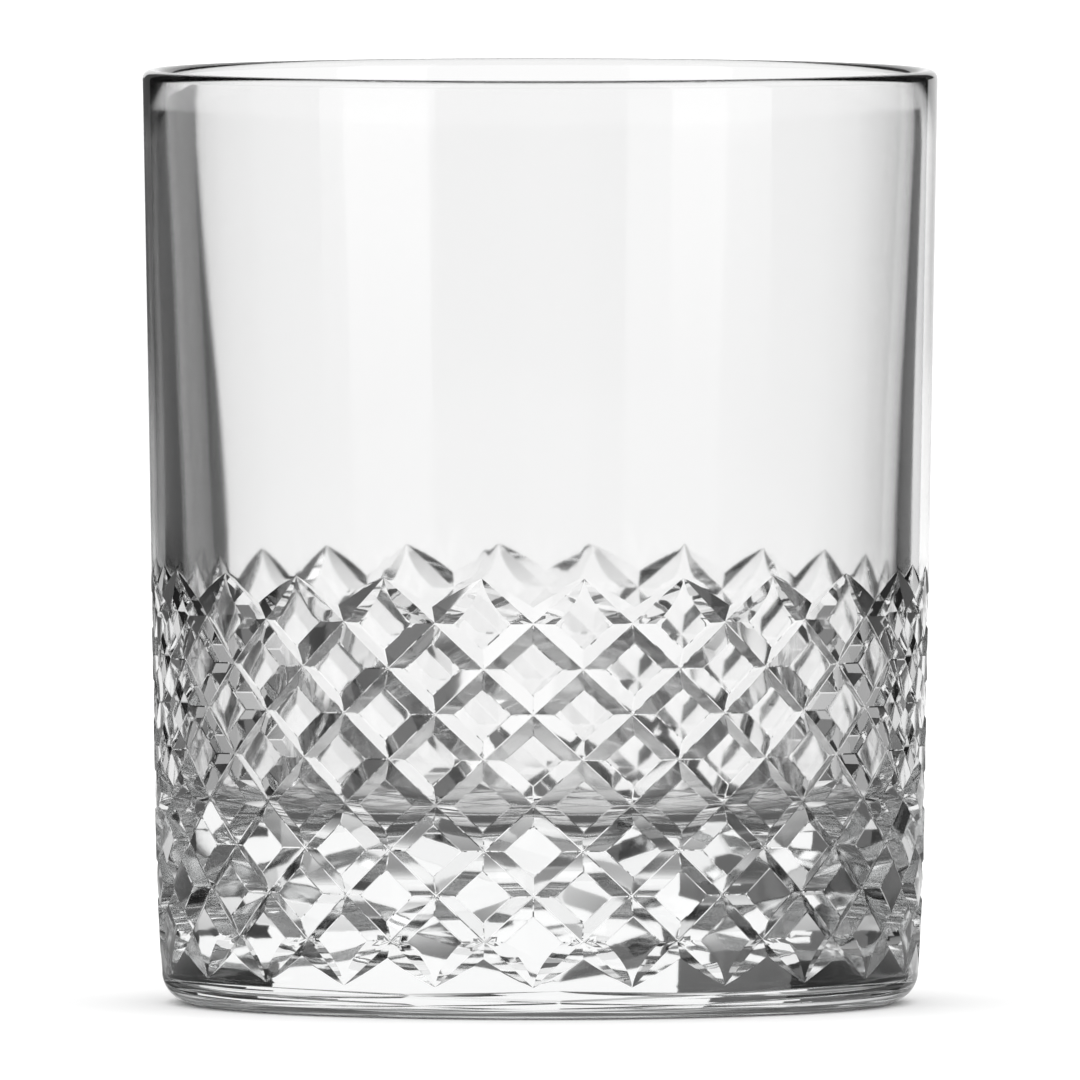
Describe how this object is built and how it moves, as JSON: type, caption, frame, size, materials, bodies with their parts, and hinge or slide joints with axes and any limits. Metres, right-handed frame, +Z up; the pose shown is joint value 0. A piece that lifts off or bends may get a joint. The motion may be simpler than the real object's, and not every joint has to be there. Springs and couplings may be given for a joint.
{
  "type": "whiskey tumbler",
  "caption": "Straight-sided clear glass whiskey tumbler with a heavy solid base, a plain upper wall and a lower band of crossing cuts that leave small flat diamonds.",
  "frame": {"origin": "centre of the foot, on the plane that the glass stands on", "axes": "+Z up along the glass's axis; the cuts' top tips lie half a diamond off the X and Y axes and the bottom tips lie on them"},
  "size_m": [0.084, 0.084, 0.0985],
  "materials": {
    "clear_glass": "clear, polished"
  },
  "bodies": {
    "root": {"tumbler": "clear_glass"}
  },
  "joints": []
}
